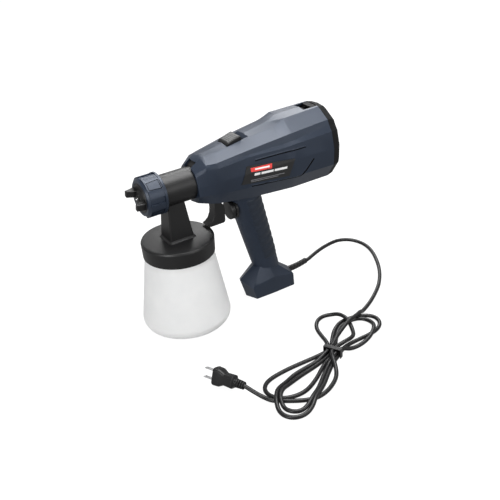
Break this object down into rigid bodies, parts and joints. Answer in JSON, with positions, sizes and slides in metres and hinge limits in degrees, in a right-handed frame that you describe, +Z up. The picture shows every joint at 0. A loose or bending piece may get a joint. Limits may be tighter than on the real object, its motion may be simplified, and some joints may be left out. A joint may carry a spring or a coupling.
{
  "type": "electric paint spray gun",
  "caption": "Hand-held electric paint spray gun with a round screw-on cup, a turbine housing, trigger, nozzle nut and a coiled mains cord with plug.",
  "frame": {"origin": "centre of the cup's flat base, on the surface the gun stands on", "axes": "+X along the spray axis out of the nozzle, +Y to the gun's left, +Z up"},
  "size_m": [0.4158, 0.3645, 0.284],
  "materials": {
    "navy_shell": "satin",
    "black_plastic": "satin",
    "cup_plastic": "translucent satin",
    "clear_plastic": "gloss",
    "label_print": "gloss",
    "steel": "brushed",
    "brass": "machined",
    "magnet": "matt",
    "carbon": "matt",
    "seal_rubber": "matt",
    "cord_rubber": "satin",
    "foam": "open foam"
  },
  "bodies": {
    "gun": {"housing_left": "navy_shell", "housing_right": "navy_shell", "nose_ring": "navy_shell", "housing_screws": "steel", "label_plate": "label_print", "motor_can": "steel", "motor_magnets": "magnet", "motor_bearings": "brass", "motor_brushes": "carbon", "fan_shroud": "black_plastic", "motor_mount": "seal_rubber", "needle_guide": "black_plastic", "return_spring": "steel", "micro_switch": "black_plastic", "trigger_pin": "steel", "knob_post": "steel", "button_spring": "steel", "button_frame": "black_plastic", "cord_boot": "cord_rubber", "cord_clamp": "black_plastic", "cord_free": "cord_rubber", "cord_hank": "cord_rubber", "cord_lead": "cord_rubber", "cord_tie": "cord_rubber", "plug_body": "cord_rubber", "plug_blades": "steel"},
    "motor_rotor": {"rotor": "steel", "fan_impeller": "black_plastic"},
    "puller": {"needle_puller": "brass"},
    "trigger_lever": {"trigger": "black_plastic"},
    "flow_dial": {"flow_knob": "black_plastic"},
    "release_button": {"lock_button": "black_plastic"},
    "filter_cover": {"rear_cover": "black_plastic", "intake_filter": "foam"},
    "front_unit": {"front_body": "black_plastic", "spigot_seal": "seal_rubber", "needle_gland": "brass", "fluid_nozzle": "black_plastic", "cup_gasket": "seal_rubber", "pickup_tube": "clear_plastic", "pressure_valve": "seal_rubber"},
    "paint_needle": {"needle": "steel"},
    "nozzle_nut": {"ring_nut": "navy_shell"},
    "spray_cap": {"air_cap": "black_plastic"},
    "paint_cup": {"cup": "cup_plastic"}
  },
  "joints": [
    {"name": "rotor_spin", "type": "hinge", "parent": "gun", "child": "motor_rotor", "pos_m": [-0.15, 0, 0.222], "axis": [1, 0, 0], "continuous": true},
    {"name": "trigger_pull", "type": "hinge", "parent": "gun", "child": "trigger_lever", "pos_m": [-0.065, 0, 0.248], "axis": [0, 1, 0], "range_deg": [0, 4.5], "stiffness_Nm_per_rad": 2, "springref_deg": -11.46},
    {"name": "puller_slide", "type": "slide", "parent": "gun", "child": "puller", "axis": [-1, 0, 0], "range_m": [0, 0.0025]},
    {"name": "flow_turn", "type": "hinge", "parent": "gun", "child": "flow_dial", "pos_m": [-0.092, 0, 0.1565], "axis": [1, 0, 0], "range_deg": [0, 330]},
    {"name": "release_slide", "type": "slide", "parent": "gun", "child": "release_button", "axis": [-1, 0, 0], "range_m": [0, 0.005], "stiffness_N_per_m": 120, "springref_m": -0.008},
    {"name": "cover_slide", "type": "slide", "parent": "gun", "child": "filter_cover", "axis": [-1, 0, 0], "range_m": [0, 0.02]},
    {"name": "front_slide", "type": "slide", "parent": "gun", "child": "front_unit", "axis": [1, 0, 0], "range_m": [0, 0.045]},
    {"name": "needle_slide", "type": "slide", "parent": "front_unit", "child": "paint_needle", "axis": [-1, 0, 0], "range_m": [0, 0.0025]},
    {"name": "nut_turn", "type": "hinge", "parent": "front_unit", "child": "nozzle_nut", "pos_m": [0.03, 0, 0.219], "axis": [1, 0, 0], "range_deg": [-180, 180]},
    {"name": "cap_turn", "type": "hinge", "parent": "front_unit", "child": "spray_cap", "pos_m": [0.044, 0, 0.219], "axis": [1, 0, 0], "range_deg": [-90, 90]},
    {"name": "cup_turn", "type": "hinge", "parent": "front_unit", "child": "paint_cup", "pos_m": [0, 0, 0.117], "axis": [0, 0, 1], "range_deg": [0, 90]}
  ],
  "couplings": [
    {"joint": "puller_slide", "follows": "trigger_pull", "m_per_rad": 0.029},
    {"joint": "needle_slide", "follows": "trigger_pull", "m_per_rad": 0.029}
  ]
}
